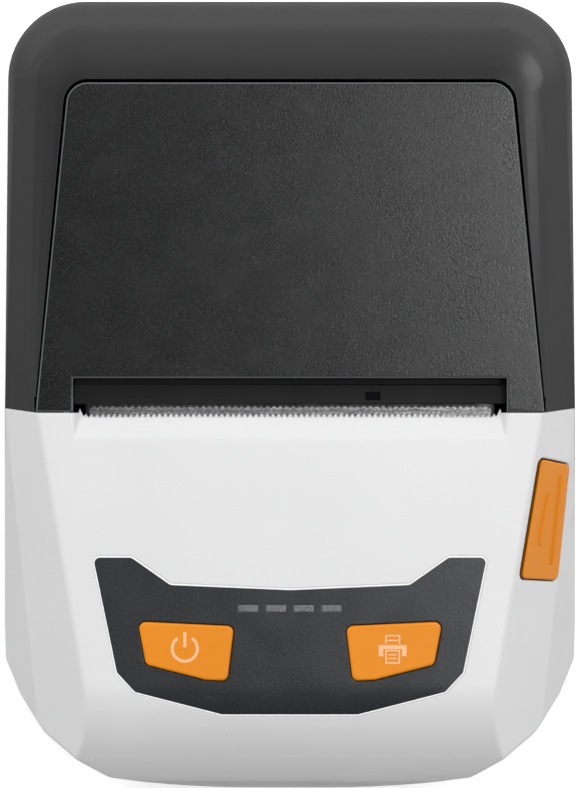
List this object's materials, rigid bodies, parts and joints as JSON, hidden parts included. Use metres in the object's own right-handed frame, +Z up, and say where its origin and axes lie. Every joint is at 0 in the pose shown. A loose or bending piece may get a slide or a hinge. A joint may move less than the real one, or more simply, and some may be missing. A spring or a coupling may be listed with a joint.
{
  "type": "portable receipt printer",
  "caption": "Battery receipt printer with a hinged paper lid, a tear bar, a control panel with two keys and a lid release button on its side.",
  "frame": {"origin": "centre of the footprint, under the rubber feet", "axes": "+X to the right and +Y towards the lid hinge as one looks down on it, +Z up"},
  "size_m": [0.1168, 0.16, 0.0584],
  "materials": {
    "white_shell": "fine satin moulded white",
    "black_shell": "smooth satin black",
    "lid_shell": "fine grained black",
    "base_shell": "fine spark-eroded black",
    "inner_plastic": "plain moulded black",
    "key_orange": "satin orange",
    "panel_grey": "dark speckled overlay",
    "lamp_lens": "smoked translucent windows",
    "tear_steel": "blanked steel strip",
    "frame_steel": "zinc-plated sheet steel",
    "axle_steel": "ground steel",
    "screw_steel": "black zinc screws",
    "spring_steel": "spring wire",
    "platen_rubber": "ground rubber",
    "foot_rubber": "moulded rubber",
    "gear_nylon": "natural acetal",
    "bush_nylon": "filled acetal",
    "motor_case": "plated motor can",
    "heatsink_alloy": "extruded alloy",
    "head_ceramic": "glazed ceramic strip",
    "board_green": "circuit board",
    "switch_black": "switch housing",
    "cell_wrap": "moulded battery case",
    "contact_gold": "plated contacts",
    "port_steel": "nickel-plated shell",
    "sensor_lens": "dark infrared window"
  },
  "bodies": {
    "case": {"bottom_case": "base_shell", "front_cover": "white_shell", "rear_bezel": "black_shell", "hinge_pins": "axle_steel", "paper_well": "inner_plastic", "well_screws": "screw_steel", "mech_frame": "frame_steel", "frame_screws": "screw_steel", "head_pivot": "axle_steel", "head_springs": "spring_steel", "drive_motor": "motor_case", "idler_axle": "axle_steel", "tear_bar": "tear_steel", "control_panel": "panel_grey", "led_windows": "lamp_lens", "key_switches": "switch_black", "lever_pivot": "axle_steel", "release_spring": "spring_steel", "main_board": "board_green", "board_screws": "screw_steel", "battery_pack": "cell_wrap", "battery_contacts": "contact_gold", "charge_board": "board_green", "charge_port": "port_steel", "case_screws": "screw_steel", "rubber_feet": "foot_rubber"},
    "lid": {"lid_cover": "lid_shell", "platen_holder": "inner_plastic", "holder_screws": "screw_steel", "paper_sensor": "sensor_lens", "platen_bushes": "bush_nylon"},
    "platen": {"platen_roller": "platen_rubber", "platen_shaft": "axle_steel", "platen_gear": "gear_nylon"},
    "idler": {"idler_gear": "gear_nylon"},
    "rotor": {"motor_pinion": "gear_nylon"},
    "head": {"print_head": "head_ceramic", "head_heatsink": "heatsink_alloy"},
    "power_key": {"power_button": "key_orange"},
    "feed_key": {"feed_button": "key_orange"},
    "release_key": {"release_button": "key_orange"},
    "lever": {"release_lever": "frame_steel"},
    "door": {"battery_door": "base_shell"}
  },
  "joints": [
    {"name": "lid_hinge", "type": "hinge", "parent": "case", "child": "lid", "pos_m": [0, 0.0533, 0.055], "axis": [-1, 0, 0], "range_deg": [0, 95]},
    {"name": "platen_spin", "type": "hinge", "parent": "lid", "child": "platen", "pos_m": [0, 0.005, 0.0455], "axis": [1, 0, 0], "continuous": true},
    {"name": "idler_spin", "type": "hinge", "parent": "case", "child": "idler", "pos_m": [0, 0.00756, 0.03249], "axis": [1, 0, 0], "continuous": true},
    {"name": "motor_spin", "type": "hinge", "parent": "case", "child": "rotor", "pos_m": [0, 0.00213, 0.02308], "axis": [1, 0, 0], "continuous": true},
    {"name": "head_tilt", "type": "hinge", "parent": "case", "child": "head", "pos_m": [0, -0.00103, 0.03677], "axis": [1, 0, 0], "range_deg": [0, 3], "stiffness_Nm_per_rad": 0.5, "springref_deg": -11.46, "deforming": ["head_springs"]},
    {"name": "power_press", "type": "slide", "parent": "case", "child": "power_key", "axis": [0, 0, -1], "range_m": [0, 0.0005], "stiffness_N_per_m": 2000},
    {"name": "feed_press", "type": "slide", "parent": "case", "child": "feed_key", "axis": [0, 0, -1], "range_m": [0, 0.0005], "stiffness_N_per_m": 2000},
    {"name": "release_press", "type": "slide", "parent": "case", "child": "release_key", "axis": [-0.8076, 0.1372, -0.5736], "range_m": [0, 0.0018], "stiffness_N_per_m": 1500},
    {"name": "release_rock", "type": "hinge", "parent": "case", "child": "lever", "pos_m": [0.0462, -0.015, 0.04], "axis": [1, 0, 0], "range_deg": [0, 6.7], "deforming": ["release_spring"]},
    {"name": "door_slide", "type": "slide", "parent": "case", "child": "door", "axis": [0, -1, 0], "range_m": [0, 0.05]}
  ],
  "couplings": [
    {"joint": "idler_spin", "follows": "platen_spin", "ratio": -0.65},
    {"joint": "motor_spin", "follows": "platen_spin", "ratio": 1.8571},
    {"joint": "release_rock", "follows": "release_press", "rad_per_m": 64.6}
  ]
}
